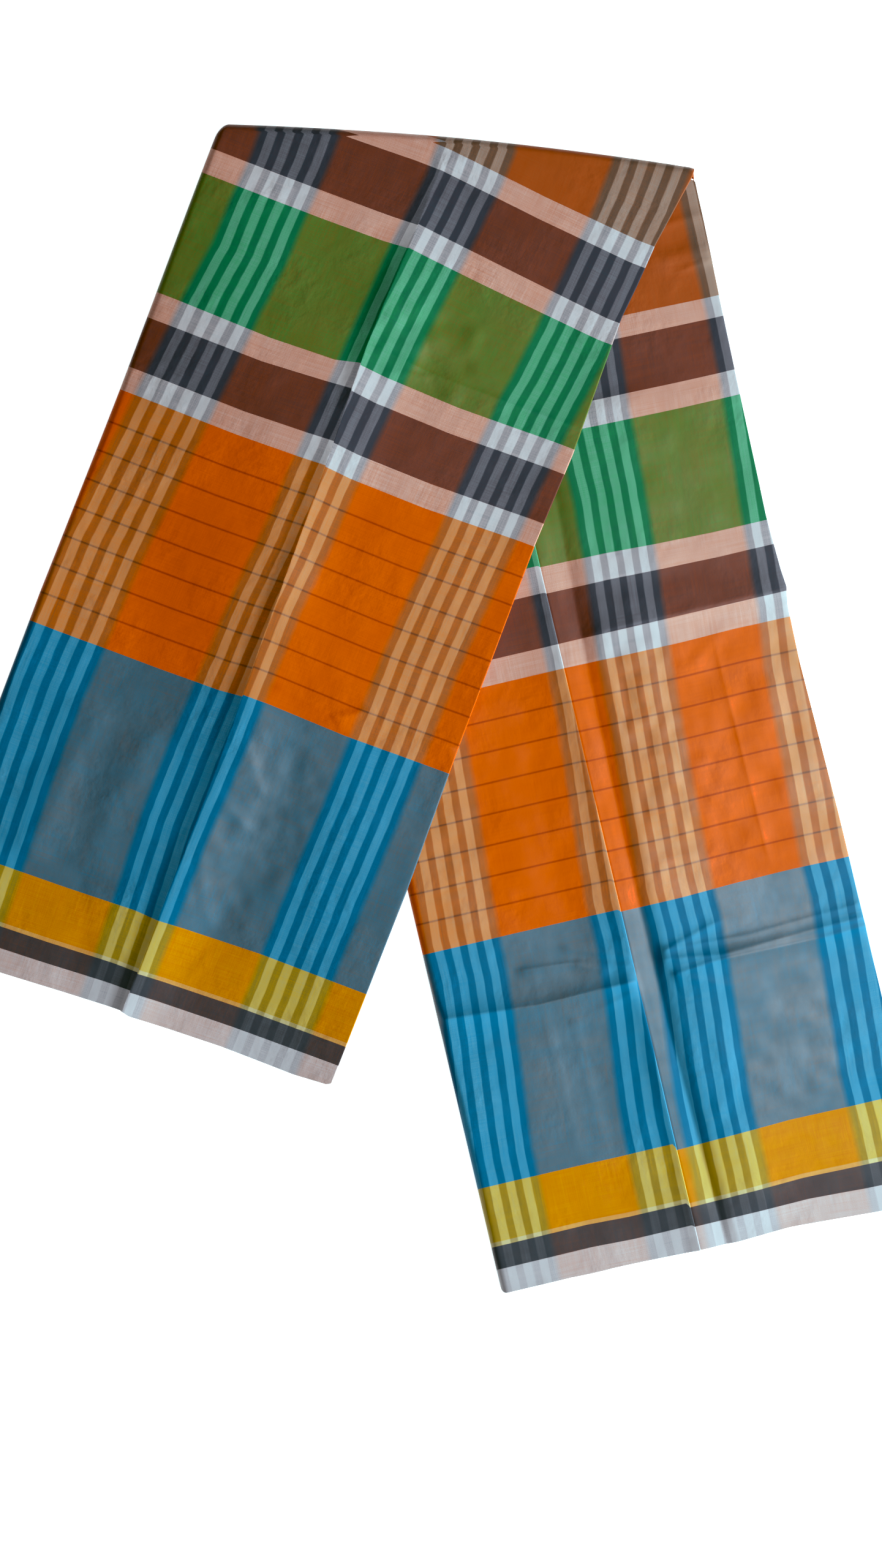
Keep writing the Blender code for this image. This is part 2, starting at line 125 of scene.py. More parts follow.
frontLeg = {
    "name": "front_leg",
    "lean": 20.9,
    "left": -133.5,
    "right": 127.5,
    "length": 541.0,
    "setBack": 5.35,
    "faceTurn": 165.0,
    "spacing": (2.3, 0.7),  # of the face's points, on the open cloth and at its creases
    "pliesTurn": 150.0,
    "ridgeColumn": -2.5,  # the column of points that keeps to the main ridge
    "ridgePull": 40.0,
    "ridgeClear": 0.7,
    "edges": {
        "along": (-36, 15, 40, 61, 145, 202, 330, 415, 540),
        "left": (-0.5, -0.5, -0.5, -0.3, -0.2, 0.0, 1.6, 1.2, 0.0),
        "right": (8.0, 1.3, 0.0, -1.8, 0.0, -1.8, -1.2, 0.4, -0.6),
    },
    "hem": {
        "across": (-133, -77, -4, 2, 59, 105, 127),
        "along": (548.5, 545.8, 541.0, 542.6, 540.2, 540.2, 538.4),
    },
    # each pressed ridge: its line, its height, and how far it spreads on each side
    "ridges": (
        {
            "along": (20, 60, 100, 130, 175, 215, 250, 320, 350, 380, 430, 470, 500, 541),
            "across": (-3.5, -4.0, -5.7, -6.4, -5.0, -3.6, -3.2,
                       -2.0, -1.4, -0.7, -0.7, -1.4, -1.1, -2.0),
            "rise": (0.9, 2.0, 3.4, 3.9, 3.1, 2.9, 3.0, 3.4, 4.4, 5.4, 5.6, 5.0, 4.0, 3.6),
            "left": (30, 50, 60, 60, 60, 60, 70, 70, 70, 76, 76, 55, 40, 36),
            "sharp": (0.5, 0.65, 0.65, 0.5, 0.2, 0.35, 0.5, 0.5, 0.35, 0.2, 0.2, 0.35, 0.5, 0.5),
            "belly": (0, 0, 0, 0, 0, 0, 0, 0.2, 0.6, 1, 1, 1, 0.8, 0.2),
            "right": (16, 18, 20, 20, 18, 16, 15, 18, 26, 30, 30, 24, 18, 16),
            "hollow": 1.15,
        },
    ),
    # first and last edges of the light stripes in each group
    "stripes": {
        "along": (20, 60, 100, 130, 175, 215, 250, 290, 380, 430, 470, 537),
        "aFirst": (-107, -108.9, -109.6, -113.6, -117.9, -121.8,
                   -125, -129.3, -132.5, -131, -129, -127),
        "aLast": (-71.4, -72.9, -73.9, -77.5, -81.4, -84.6, -87.5, -91.1, -94.6, -94.3, -92.5, -90),
        "bFirst": (-6.8, -11.5, -14.0, -15.7, -18.2, -20.4, -21.8, -25.0, -28.2, -28.9, -26.8, -24.6),
        "bLast": (27.9, 23.6, 18.9, 16.4, 12.9, 10.7, 9.3, 6.4, 5.7, 3.6, 3.6, 3.4),
        "cFirst": (92.5, 88.6, 84.3, 80.0, 76.8, 74.6, 72.1, 70.0, 68.9, 67.1, 66.4, 65.4),
        "cLast": (128.2, 123.9, 119.3, 115.4, 111.8, 109.6, 107.5, 105.4, 104.3, 102.5, 101.8, 100.9),
    },
    # along of each weft line, at places across that count from the ridge
    "wefts": {
        "across": (-115, -55, -15, -0.15, 0.15, 16, 63, 124),
        545.0: (3.0, 3.0, 1.4, 1.8, 1.8, 3.2, 7.9, 12.3),
        498.0: (53.3, 53.3, 52.9, 52.1, 51.4, 53.2, 57.9, 63.8),
        409.0: (142.3, 143.6, 142.1, 138.4, 139.6, 141.1, 142.6, 141.1),
        394.0: (158.0, 158.2, 155.4, 154.3, 155.7, 157.5, 158.6, 157.0),
        345.5: (204.1, 204.6, 203.6, 202.9, 203.6, 205.0, 205.7, 203.7),
        202.5: (347.6, 347.1, 346.4, 345.0, 343.9, 343.6, 345.0, 344.0),
        60.0: (488.0, 486.3, 484.6, 485.4, 485.4, 484.3, 482.2, 482.1),
        0.0: (547.5, 544.3, 541.6, 541.1, 542.6, 541.6, 540.0, 539.0),
    },
    "creases": creaseRows(
        (((-2, 128), (40, 131), (124, 130)), 2, 5, 0.55, 1.2),
        (((-3, 108), (14, 117)), 3, 4, 0.5, 1.4),
        (((1, 124), (24, 119)), 2.5, 4, 0.45, 1.4),
        (((8, 140), (34, 133)), 2, 4, 0.4, 1.4),
        (((14, 332), (54, 336)), 2, 5, 0.5, 1.2),
        (((52, 338), (68, 327), (126, 330)), 1.8, 5, 0.6, 1.2),
        (((-90, 367), (-5, 351)), 4, 7, 0.3, 1.5),
        (((0, 350), (68, 366)), 4, 7, 0.3, 1.5),
        (((127.5, 60), (127, 230), (127, 450)), 4, 11, 0.9, 1.5),
        (((-87, 478), (-77, 378)), 20, 12, 1.5, 1.7),
        (((-55, 474), (-43, 382)), 16, 14, 1.5, 1.7),
        (((9, 368), (30, 396)), 4, 3, 0.35, 1.6),
        (((12, 408), (38, 420)), 3, 4, 0.3, 1.6),
        (((8, 440), (22, 472)), 4, 3, 0.3, 1.6),
    ),
    "crumples": (
        {"across": (2, 66), "along": (352, 484), "rise": 0.3, "cell": 8.0, "seed": 21},
        {"across": (2, 60), "along": (85, 150), "rise": 0.5, "cell": 10.0, "seed": 22},
        {"across": (-110, -20), "along": (380, 480), "rise": 0.25, "cell": 14.0, "seed": 23},
    ),
    "undulation": 3,
}
backLeg = {
    "name": "back_leg",
    "lean": -13.2,
    "left": -127.4,
    "right": 128.0,
    "length": 660.0,
    "setBack": 6.75,
    "faceTurn": 0.0,
    "spacing": (2.6, 0.8),
    "pliesTurn": 0.0,
    "edges": {
        "along": (40, 76, 141, 251, 284, 294, 306, 339, 427, 660),
        "left": (0,) * 10,
        "right": (2.8, 2.4, 0.6, -1.6, -0.4, 0.5, -1.3, -2.0, 0.0, 0.6),
    },
    "hem": {
        "across": (-127, -76, 12, 45, 96, 128),
        "along": (658.6, 658.3, 659.8, 658.7, 661.6, 662.8),
    },
    "ridges": (
        {  # the tuck's edge, which stands up a little
            "along": (40, 200, 280, 320, 400, 500, 560, 659),
            "across": (tuck["edge"],) * 8,
            "rise": (0.0, 0.8, 2.0, 2.2, 2.4, 2.8, 2.8, 2.4),
            "left": (30, 30, 30, 30, 32, 34, 36, 36),
            "sharp": (0.3,) * 8,
            "belly": (0,) * 8,
            "right": (45,) * 8,
            "hollow": 1.35,
        },
        {  # the bottom of the valley
            "along": (40, 150, 220, 280, 340, 364, 400, 450, 500, 540, 600, 659),
            "across": (14, 12, 9, 6, 4.2, 3.8, 3.0, 2.4, 3.0, 3.2, 5.0, 7.0),
            "rise": (0.0, -0.7, -1.0, -1.1, -1.3, -1.4, -1.4, -1.4, -1.5, -1.6, -1.6, -1.4),
            "left": (15,) * 7 + (14,) * 4 + (13,),
            "sharp": (0,) * 12,
            "belly": (0,) * 12,
            "right": (5,) * 6 + (4.7, 4.3, 4, 3.6, 3.6, 3.6),
            "hollow": 1.05,
        },
    ),
    "stripes": {
        "along": (125, 172, 215, 260, 305, 340, 400, 450, 475, 510, 550, 580, 615, 653),
        "aFirst": (-108, -109, -110, -111, -112, -113, -116.8,
                   -120.4, -120, -122.9, -127.3, -129.5, -130.5, -131),
        "aLast": (-73.5, -74.5, -75.5, -76.5, -77.5, -78.5, -82.5,
                  -85.7, -86.1, -88.6, -92.5, -95.4, -96.1, -97.1),
        "bFirst": (-10, -11, -11.5, -12, -13.2, -14.6, -19.3,
                   -22.9, -22.5, -25.0, -29.6, -32.1, -32.9, -33.6),
        "cFirst": (28, 24, 24, 21.2, 17.1, 15.4, 12.1, 8.9, 9.6, 7.7, 3.4, 1.8, 1.4, 1.0),
        "cLast": (63.5, 58.9, 57.5, 54.6, 50.7, 48.2, 45.0, 42.9, 43.6, 41.1, 38.2, 36.1, 35.7, 35.4),
        "dFirst": (125, 123.6, 120.4, 117.1, 114.6, 110.5, 108.4,
                   105.4, 106.1, 103.9, 101.4, 99.3, 99.6, 99.0),
    },
    "wefts": {
        "across": (-118, -70, -45, -9.1, -8.7, 30, 60, 95, 120),
        545.0: (117,) * 6 + (117.3, 117.9, 118.6),
        483.0: (178,) * 5 + (178.5, 179.3, 180, 180),
        409.0: (250,) * 4 + (251.1, 251.8, 253.2, 254.3, 254.3),
        367.6: (294.9,) * 9,
        363.6: (295.3,) * 9,
        345.5: (312.9, 312.9, 312.9, 312.9, 312.9, 313.6, 313.9, 313.2, 313.6),
        202.5: (455.7, 455.7, 455.7, 455.9, 457.5, 457.5, 456.4, 456.1, 456.4),
        60.0: (596.8, 596.8, 597.1, 597.1, 601.1, 600.0, 598.9, 599.3, 599.3),
        24.5: (632.5, 632.1, 633.2, 633.2, 636.1, 635.4, 634.3, 635.0, 635.5),
        0.0: (658.9, 658.6, 659.6, 659.4, 658.9, 659.3, 659.3, 662.1, 662.8),
    },
    "creases": creaseRows(
        (((8, 295.1), (131, 295.1)), 16, 12, 1.6, 1.1),
        (((-130, 494), (-68, 499), (-9, 498)), 7, 9, 2.6, 1.05),
        (((6, 489), (43, 494.5), (131, 492)), 6, 8, 1.5, 1.1),
        (((12, 499.5), (36, 497), (103, 498.5), (131, 497)), 3, 5, 0.9, 1.1),
        (((-75, 477), (-45, 479.5), (-24, 489)), 2, 4, 0.6, 1.3),
        (((8, 484), (60, 487), (131, 484)), 2, 3, 0.35, 1.2),
        (((-48, 469), (-10, 484)), 2, 3, 0.4, 1.3),
        (((-42, 479), (-11, 489)), 1.8, 3, 0.35, 1.3),
        (((-52, 514), (-12, 504)), 2, 3, 0.35, 1.3),
        (((9, 485), (46, 475)), 2, 3, 0.6, 1.3),
        (((10, 499), (46, 514)), 2, 3, 0.35, 1.3),
        (((-104, 516), (-34, 531)), 3, 5, 0.25, 1.5),
        (((-67, 462), (-64, 594)), 1.6, 2.2, 0.18, 1.5),
        (((-50, 505), (-49, 590)), 1.6, 2.2, 0.16, 1.5),
        (((80, 316), (82, 447)), 2.4, 1.8, 0.3, 1.3),
        (((97, 322), (99, 420)), 2.4, 1.8, 0.18, 1.5),
        (((60, 330), (92, 306)), 4, 4, 0.3, 1.8),
        (((92, 91), (131, 93)), 5, 6, 0.6, 2),
        (((108, 101), (130, 98)), 2, 3, 0.4, 1.2),
        (((100, 73), (131, 71)), 2, 4, 0.5, 1.2),
        (((50, 272), (50, 160)), 28, 44, 1, 1.6),
        (((38, 420), (38, 270)), 14, 38, 1.1, 1.6),
        (((30, 650), (30, 490)), 18, 40, 1.6, 1.6),
    ),
    "crumples": (
        {"across": (12, 66), "along": (300, 455), "rise": 0.42, "cell": 7.5, "seed": 31},
        {"across": (60, 122), "along": (315, 450), "rise": 0.42, "cell": 13.0, "seed": 32},
        {"across": (14, 122), "along": (500, 600), "rise": 0.3, "cell": 10.0, "seed": 33},
        {"across": (-110, -30), "along": (320, 460), "rise": 0.2, "cell": 12.0, "seed": 34},
        {"across": (30, 122), "along": (160, 255), "rise": 0.3, "cell": 16.0, "seed": 35},
    ),
    "undulation": 8,
}


def ease(share):
    # from 0 to 1, slowly at both ends
    share = np.clip(share, 0.0, 1.0)
    return share * share * (3 - 2 * share)


def corner(distance, radius):
    # how far a rounded corner holds a row back, at this distance from the side
    inside = np.clip(radius - distance, 0.0, radius)
    return radius - np.sqrt(radius**2 - inside**2)


def planOf(leg, across, along):
    # x and y of places on a leg
    lean = math.radians(leg["lean"])
    x = fold["middle"][0] + across * math.cos(lean) - along * math.sin(lean)
    y = fold["middle"][1] - across * math.sin(lean) - along * math.cos(lean)
    return x, y


def legOf(leg, x, y):
    # across and along of places on the table
    lean = math.radians(leg["lean"])
    fromX, fromY = x - fold["middle"][0], y - fold["middle"][1]
    across = fromX * math.cos(lean) - fromY * math.sin(lean)
    return across, -fromX * math.sin(lean) - fromY * math.cos(lean)


def foldAlong(leg, across):
    # where the leg's flat part begins at the top fold, which bows a little
    slant = math.radians(leg["lean"] - fold["tilt"])
    bulge = fold["bulge"] * (1 - (across / fold["half"]) ** 2)
    return fold["offset"] - across * math.tan(slant) - bulge + leg["setBack"] / math.cos(slant)


def rowAlong(leg, station, across):
    # a row follows the fold near the top and the hem at the end, and is square between
    fromFold = 1 - ease(station / fold["fan"])
    fromHem = ease((station - leg["length"] + plies["hemFan"]) / plies["hemFan"])
    atFold = strayed(leg, across, foldAlong(leg, across))
    along = station + foldAlong(leg, atFold) * fromFold
    hem = np.interp(across, leg["hem"]["across"], leg["hem"]["along"])
    along = along + (hem - leg["length"]) * fromHem
    fromLeft, fromRight = across - leg["left"], leg["right"] - across
    pulled = corner(fromLeft, fold["cornerLeft"]) + corner(fromRight, fold["cornerRight"])
    along = along + pulled * (1 - ease(station / plies["rowLeast"]))
    rounded = corner(fromLeft, plies["hemCorner"]) + corner(fromRight, plies["hemCorner"])
    run = plies["hemCornerRun"]
    return along - rounded * ease((station - leg["length"] + run) / run)


def strayed(leg, across, along):
    # across, stretched to the leg's slightly wavy edges
    edges = leg["edges"]
    toLeft = np.interp(along, edges["along"], edges["left"]) * np.maximum(across / leg["left"], 0)
    toRight = np.interp(along, edges["along"], edges["right"]) * np.maximum(across / leg["right"], 0)
    return across - toLeft + toRight


def lattice(seed, across, along, cell):
    # smooth noise on a square lattice, from -1 to 1
    values = np.random.default_rng(seed).uniform(-1, 1, surface["noiseGrid"])
    u, v = across / cell + surface["noiseShift"][0], along / cell + surface["noiseShift"][1]
    i = np.floor(u).astype(int) % (surface["noiseGrid"][0] - 1)
    j = np.floor(v).astype(int) % (surface["noiseGrid"][1] - 1)
    p, q = ease(u - np.floor(u)), ease(v - np.floor(v))
    top = values[i, j] * (1 - p) + values[i + 1, j] * p
    low = values[i, j + 1] * (1 - p) + values[i + 1, j + 1] * p
    return top * (1 - q) + low * q


def relief(leg, across, along):
    # how far the cloth stands above its flat form
    height = 0.0
    for step, (high, cell) in enumerate(surface["undulations"]):
        height = height + high * lattice(leg["undulation"] + step, across, along, cell)
    for crease in leg["creases"]:
        height = height + creaseHeight(crease, across, along)
    for ridge in leg["ridges"]:
        height = height + ridgeHeight(ridge, across, along)
    for crumple in leg["crumples"]:
        height = height + crumpleHeight(crumple, across, along)
    return height * ease((across - leg["left"]) / surface["leftRun"])


def creaseHeight(crease, across, along):
    fade, left, joint = surface["creaseFade"], surface["creaseEnd"], surface["creaseJoint"]
    path = crease["path"]
    found = 0.0
    for start, end in zip(path, path[1:]):
        runX, runY = end[0] - start[0], end[1] - start[1]
        run = math.hypot(runX, runY)
        fromX, fromY = across - start[0], along - start[1]
        share = (fromX * runX + fromY * runY) / run**2
        aside = (fromX * runY - fromY * runX) / run
        wide = np.where(aside > 0, crease["over"], crease["under"])
        grown = ease(share / fade + left) if start == path[0] else ease(share * run / joint + 1)
        kept = ease((1 - share) / fade + left) if end == path[-1] else ease((1 - share) * run / joint + 1)
        found = np.maximum(found, grown * kept * np.exp(-((np.abs(aside) / wide) ** crease["crest"])))
    return crease["rise"] * found


def ridgeHeight(ridge, across, along):
    at = {name: np.interp(along, ridge["along"], ridge[name]) for name in ridge if name != "hollow"}
    aside = across - at["across"]
    narrow = np.clip(1 + aside / surface["sharpFlank"], 0, 1) ** ridge["hollow"]
    broad = np.clip(1 + aside / at["left"], 0, 1) ** ridge["hollow"]
    left = at["sharp"] * narrow + (1 - at["sharp"]) * broad
    reach, curve = surface["hollowFlank"]
    fallen = np.clip(1 - aside / (reach * at["right"]), 0, 1) ** curve
    rounded = 1 - ease(aside / (surface["roundFlank"] * at["right"]))
    right = fallen * (1 - at["belly"]) + rounded * at["belly"]
    return at["rise"] * np.where(aside < 0, left, right)


def crumpleHeight(crumple, across, along):
    (left, right), (top, low) = crumple["across"], crumple["along"]
    aside = ease(np.minimum(across - left, right - across) / surface["crumpleFade"][0])
    lengthwise = ease(np.minimum(along - top, low - along) / surface["crumpleFade"][1])
    waves = lattice(crumple["seed"], across, along, crumple["cell"])
    return crumple["rise"] * (aside * lengthwise) * waves


def restingHeight(leg, x, y):
    # the front leg lies on the back leg, and slopes down to the table beside it
    if leg is backLeg:
        return 0.0
    beyond = backLeg["left"] - legOf(backLeg, x, y)[0] - plies["drapeStart"]
    return (plies["height"] + plies["gap"]) * (1 - ease(beyond / plies["drapeRun"]))


def besideRidge(leg, across, along):
    # the front leg's columns near its ridge follow the ridge's line
    if leg is backLeg:
        return across
    ridge = leg["ridges"][0]
    toRidge = np.interp(along, ridge["along"], ridge["across"]) - leg["ridgeColumn"]
    return across + toRidge * np.exp(-(((across - leg["ridgeColumn"]) / leg["ridgePull"]) ** 2))


def clothPoints(leg, rows, across, depth, drawIn=0.0):
    # the points of a leg at a depth below its face, flat or on their way round the top fold
    station, angle = rows[:, 0][:, None], np.radians(rows[:, 1])[:, None]
    along = rowAlong(leg, station, across) - drawIn
    spread = strayed(leg, besideRidge(leg, across, along), along)
    x, y = planOf(leg, spread, along)
    fromFold = ease(station / surface["foldRun"]) * (angle == 0)
    flat = restingHeight(leg, x, y) + plies["height"] + relief(leg, spread, along) * fromFold - depth
    radius = fold["radius"] - depth
    reach = radius * np.sin(angle)
    travel = np.where(angle < math.pi / 2, reach, 2 * radius - reach)
    tilt = math.radians(fold["tilt"])
    sideways = travel * math.tan(math.radians(leg["lean"]) - tilt)
    turnX = x + math.sin(tilt) * reach + math.cos(tilt) * sideways
    turnY = y + math.cos(tilt) * reach - math.sin(tilt) * sideways
    turned = angle > 0
    points = np.stack([
        np.where(turned, turnX, x),
        np.where(turned, turnY, y),
        np.where(turned, fold["radius"] + radius * np.cos(angle), flat),
    ], axis=-1)
    return points, spread, along


def asSeen(leg, points):
    # across and along of the places on the table that the points cover, from above its middle
    grow = view["height"] / (view["height"] - millimetre * points[..., 2])
    middle = [1000 * place for place in view["at"]]
    x, y = (middle[side] + (points[..., side] - middle[side]) * grow for side in (0, 1))
    return legOf(leg, x, y)


def spaced(start, end, wide, fine, near, growth=0.22):
    # places from start to end, closer together beside the ones in near
    places = [start]
    while places[-1] < end:
        apart = min([abs(places[-1] - spot) for spot in near], default=math.inf)
        places.append(places[-1] + min(wide, fine + growth * apart))
    places[-1] = end
    return places


def legRows(leg, turn, wide, fine, near=()):
    # each row's station on the flat and its angle round the top fold
    stations = spaced(0.0, leg["length"], wide, fine, near)
    steps = fold["turnSteps"]
    turned = [(0.0, turn * (1 - step / steps)) for step in range(steps)] if turn else []
    return np.array(turned + [(station, 0.0) for station in stations])


def arc(across, depth, wide, high, start, end, steps, side=1):
    # points of a rounded edge, as across, depth and the direction of the wall
    spots = []
    for step in range(steps + 1):
        angle = math.radians(start + (end - start) * step / steps)
        inX, inY = -math.cos(angle) / wide, math.sin(angle) / high
        size = math.hypot(inX, inY) * side
        spot = across + wide * math.cos(angle), depth - high * math.sin(angle)
        spots.append((*spot, inX / size, inY / size))
    return spots


def level(columns, depth=0.0, down=1.0):
    return [(column, depth, 0.0, down) for column in columns]


def faceSection(leg, columns):
    # the ply that shows, as across, depth and the direction of its wall
    left, right, drop = leg["left"], leg["right"], plies["edgeDrop"]
    lip = plies["lipRadius"]
    spots = arc(left + plies["underRun"], drop, plies["underRun"], plies["underDrop"],
                plies["underAngle"], 180, 4)[:-1]
    spots += arc(left + plies["edgeRun"], drop, plies["edgeRun"], drop, 180, 90, 9)
    if leg is backLeg:
        inner, turn = tuck["edge"] - tuck["depth"], tuck["lip"]
        between = (inner + tuck["edge"]) / 2
        spots += level([column for column in columns if column < tuck["edge"] - turn - tuck["lipClear"]])
        spots += arc(tuck["edge"] - turn, turn, turn, turn, 90, -90, 8)
        spots += level([between], 2 * turn, -1.0)
        innerLip = tuck["innerLip"]
        spots += arc(inner, tuck["floor"] - innerLip, innerLip, innerLip, 90, 270, 2, side=-1)
        spots += level([between, tuck["edge"] - tuck["underEdge"]], tuck["floor"])
        for column in columns:
            if column > tuck["edge"]:
                deep = np.interp(column, tuck["valley"]["across"], tuck["valley"]["depth"])
                spots += level([column], float(deep))
    else:
        spots += level(columns)
    spots += arc(right - lip, lip, lip, lip, 90, -90, 8)
    spots += level([right - plies["lipReturn"] / 2, right - plies["lipReturn"]], 2 * lip, -1.0)
    return np.array(spots)


def reachOf(section):
    # how much cloth there is from a section's first point to each of the others
    steps = np.hypot(np.diff(section[:, 0]), np.diff(section[:, 1]))
    return np.concatenate([[0.0], np.cumsum(steps)])


def crestSeen(leg, spread, seen, along):
    # where the front leg's main ridge is seen in each row
    if leg is backLeg:
        return None
    ridge = leg["ridges"][0]
    middle = spread.shape[1] // 2
    clear = slice(warpRepeat["clear"], -warpRepeat["clear"])
    crest = np.interp(along[:, middle], ridge["along"], ridge["across"])
    rows = zip(crest, spread[:, clear], seen[:, clear])
    return np.array([np.interp(*row) for row in rows])


def warpPlace(leg, section, spread, along, crest):
    # each point's place in the warp: light stripes fill the first part of every repeat
    repeat, group, half = warpRepeat["length"], warpRepeat["group"], warpRepeat["crestHalf"]
    reach = reachOf(section)
    stripes = leg["stripes"]
    top = int(np.argmax(section[:, 1] < 1e-6))  # the first point level with the face
    lipAt = int(np.argmax(section[:, 0]))
    place = np.zeros_like(spread)
    for row in range(spread.shape[0]):
        at = float(along[row, spread.shape[1] // 2])
        edge = {name: float(np.interp(at, stripes["along"], stripes[name])) for name in stripes}
        knots = [(edge["aFirst"], 0), (edge["aLast"], group), (edge["bFirst"], repeat)]
        columns = spread[row]
        if leg is frontLeg:
            ridge, (before, after) = crest[row], warpRepeat["crestStretch"]
            beyond = warpRepeat["beyond"]
            knots += [(ridge - half, repeat + (ridge - edge["bFirst"]) * before)]
            knots += [(ridge + half, repeat + group - (edge["bLast"] - ridge) * after)]
            knots += [(edge["bLast"], repeat + group), (edge["cFirst"], 2 * repeat)]
            knots += [(edge["cLast"], 2 * repeat + group)]
            knots += [(edge["cLast"] + beyond, 2 * repeat + group + beyond)]
            flat = slice(top, lipAt + 1)
            place[row, flat] = fromKnots(columns[flat], knots)
        else:
            under = int(np.argmax(section[:, 0] > tuck["edge"] + tuck["firstUnder"] / 2))
            over = int(np.argmax(section[:under, 0]))
            knots += [(edge["bFirst"] + group, repeat + group)]
            place[row, top:over + 1] = fromKnots(columns[top:over + 1], knots)
            knots = [(edge["cFirst"], 2 * repeat), (edge["cLast"], 2 * repeat + group)]
            knots += [(edge["dFirst"], 3 * repeat), (edge["dFirst"] + group, 3 * repeat + group)]
            place[row, under:lipAt + 1] = fromKnots(columns[under:lipAt + 1], knots)
            hidden = np.arange(over, under + 1)
            share = (reach[hidden] - reach[over]) / (reach[under] - reach[over])
            place[row, hidden] = place[row, over] * (1 - share) + place[row, under] * share
        place[row, :top] = place[row, top] - (reach[top] - reach[:top])
        place[row, lipAt:] = place[row, lipAt] + reach[lipAt:] - reach[lipAt]
    return place


def fromKnots(columns, knots):
    # between the knots in proportion, and one for one past the ends
    spots, values = [float(k[0]) for k in knots], [float(k[1]) for k in knots]
    inside = np.interp(columns, spots, values)
    before = values[0] + np.minimum(columns - spots[0], 0)
    after = np.maximum(columns - spots[-1], 0)
    return np.where(columns < spots[0], before, inside + after)


def weftPlace(leg, spread, along, crest=None):
    # each point's distance from the selvedge at the hem
    wefts = leg["wefts"]
    across = spread
    if crest is not None:
        across = spread - crest[:, None]
    lines = [(key, np.interp(across, wefts["across"], wefts[key])) for key in wefts if key != "across"]
    firstKey, firstLine = lines[0]
    place = firstKey + (firstLine - along)
    for (key, line), (nextKey, nextLine) in zip(lines, lines[1:]):
        share = (along - line) / (nextLine - line)
        place = np.where(along >= line, key + (nextKey - key) * share, place)
    lastKey, lastLine = lines[-1]
    return np.where(along > lastLine, lastKey + lastLine - along, place)


def closedBlock(name, levels, maps):
    # skin of a block of points: levels is a list of [row, column] grids, top first
    grid = np.stack(levels, axis=2)
    flatMap = np.stack(maps, axis=2)
    rows, columns, deep = grid.shape[:3]
    index = np.arange(rows * columns * deep).reshape(rows, columns, deep)
    quads = []

    def skin(sheet, flip):
        a, b, c, d = sheet[:-1, :-1], sheet[1:, :-1], sheet[1:, 1:], sheet[:-1, 1:]
        order = (d, c, b, a) if flip else (a, b, c, d)
        quads.append(np.stack(order, axis=-1).reshape(-1, 4))

    skin(index[:, :, 0], False)
    skin(index[:, :, -1], True)
    skin(index[:, 0, :], True)
    skin(index[:, -1, :], False)
    skin(index[0, :, :], False)
    skin(index[-1, :, :], True)
    faces = np.concatenate(quads)
    used, compact = np.unique(faces, return_inverse=True)
    faces = compact.reshape(faces.shape)
    points = grid.reshape(-1, 3)[used] * millimetre
    places = flatMap.reshape(-1, 2)[used] * millimetre
    mesh = bpy.data.meshes.new(name)
    mesh.from_pydata(points.tolist(), [], faces.tolist())
    layer = mesh.uv_layers.new(name="cloth")
    corners = np.zeros(len(mesh.loops), dtype=np.int32)
    mesh.loops.foreach_get("vertex_index", corners)
    layer.data.foreach_set("uv", places[corners].astype(np.float32).ravel())
    mesh.validate()
    mesh.shade_smooth()
    thing = bpy.data.objects.new(name, mesh)
    bpy.context.scene.collection.objects.link(thing)
    return thing


def finishNormals(thing, angle=50):
    bpy.ops.object.select_all(action="DESELECT")
    thing.select_set(True)
    bpy.context.view_layer.objects.active = thing
    bpy.ops.object.mode_set(mode="EDIT")
    bpy.ops.mesh.select_all(action="SELECT")
    bpy.ops.mesh.normals_make_consistent(inside=False)
    bpy.ops.object.mode_set(mode="OBJECT")
    bpy.ops.object.shade_smooth_by_angle(angle=math.radians(angle))
    thing.select_set(False)


def creaseStations(leg, lengthwise):
    # the sharp creases' places across or along, which need closer columns or rows
    places = []
    for crease in leg["creases"]:
        for (x0, y0), (x1, y1) in zip(crease["path"], crease["path"][1:]):
            if crease["crest"] < surface["sharpCrest"] and (abs(y1 - y0) > abs(x1 - x0)) == lengthwise:
                places += [(x0 + x1) / 2] if lengthwise else [y0, (y0 + y1) / 2, y1]
    return places


